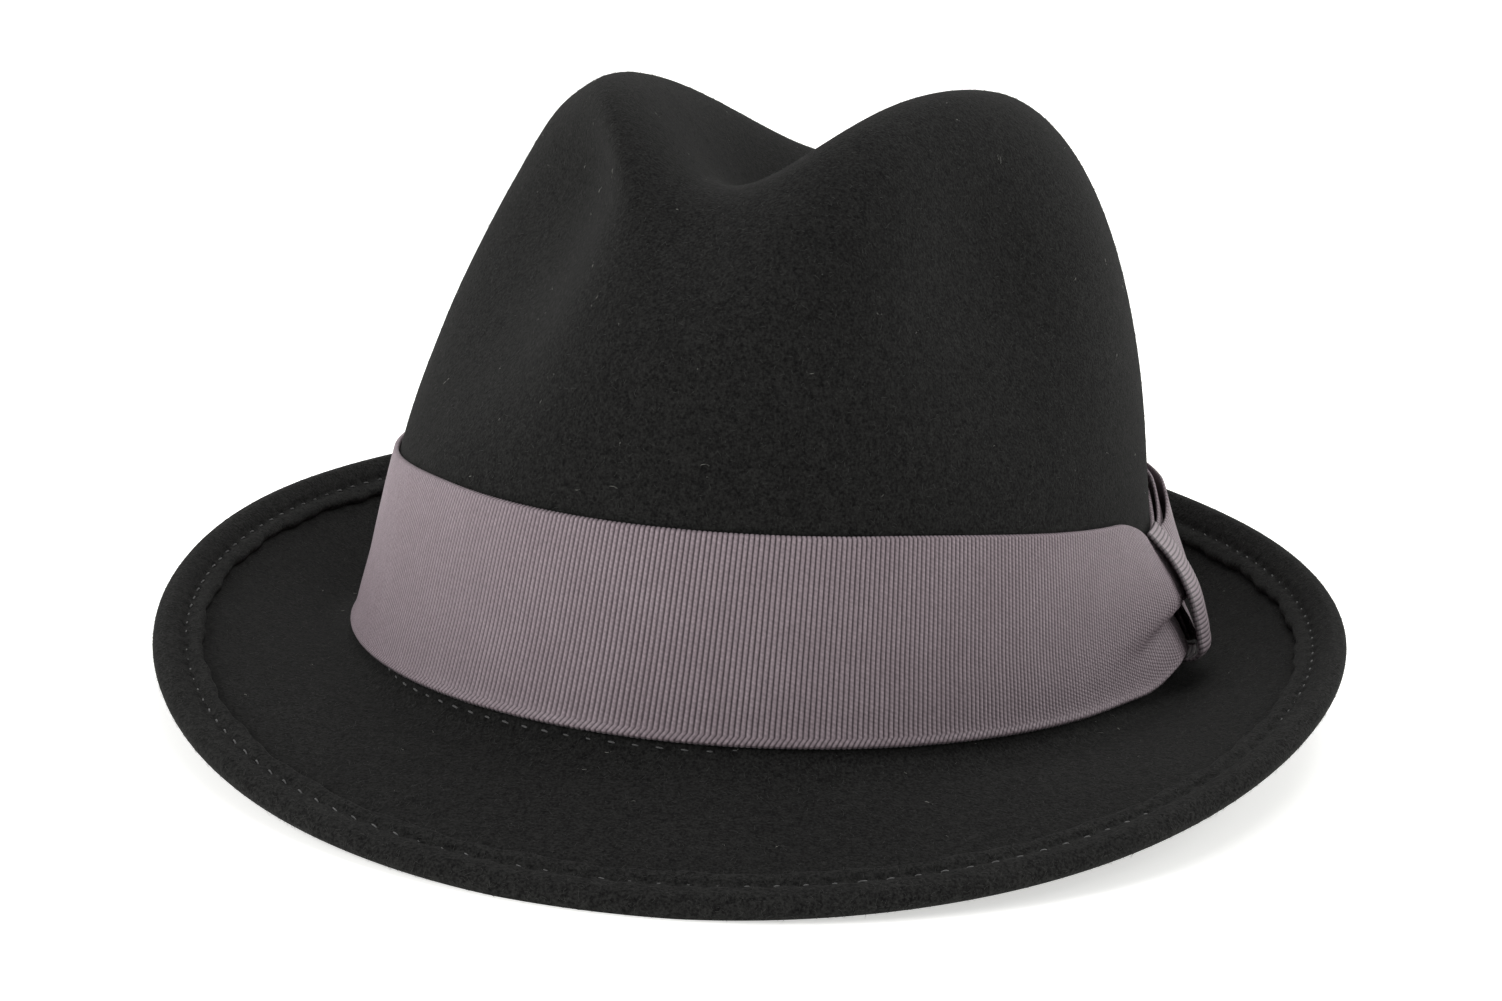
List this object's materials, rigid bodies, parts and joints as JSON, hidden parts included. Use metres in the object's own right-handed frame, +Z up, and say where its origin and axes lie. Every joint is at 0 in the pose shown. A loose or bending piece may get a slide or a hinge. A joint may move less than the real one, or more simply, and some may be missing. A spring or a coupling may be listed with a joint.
{
  "type": "felt trilby hat",
  "caption": "Black felt trilby: creased, pinched crown, snap brim with turned-over edge, grosgrain ribbon and flat bow.",
  "frame": {"origin": "centre of the hat's bounding box on the surface that it rests on", "axes": "+Z up, -Y to the front of the hat, +X to the wearer's left, where the bow is"},
  "size_m": [0.2492, 0.2832, 0.1282],
  "materials": {
    "wool_felt": "matt black wool felt with a short soft nap",
    "grosgrain_ribbon": "mauve grey grosgrain, ribbed across its width, slight sheen"
  },
  "bodies": {
    "root": {"felt_body": "wool_felt", "ribbon_band": "grosgrain_ribbon", "bow_loop": "grosgrain_ribbon", "bow_knot": "grosgrain_ribbon"}
  },
  "joints": []
}
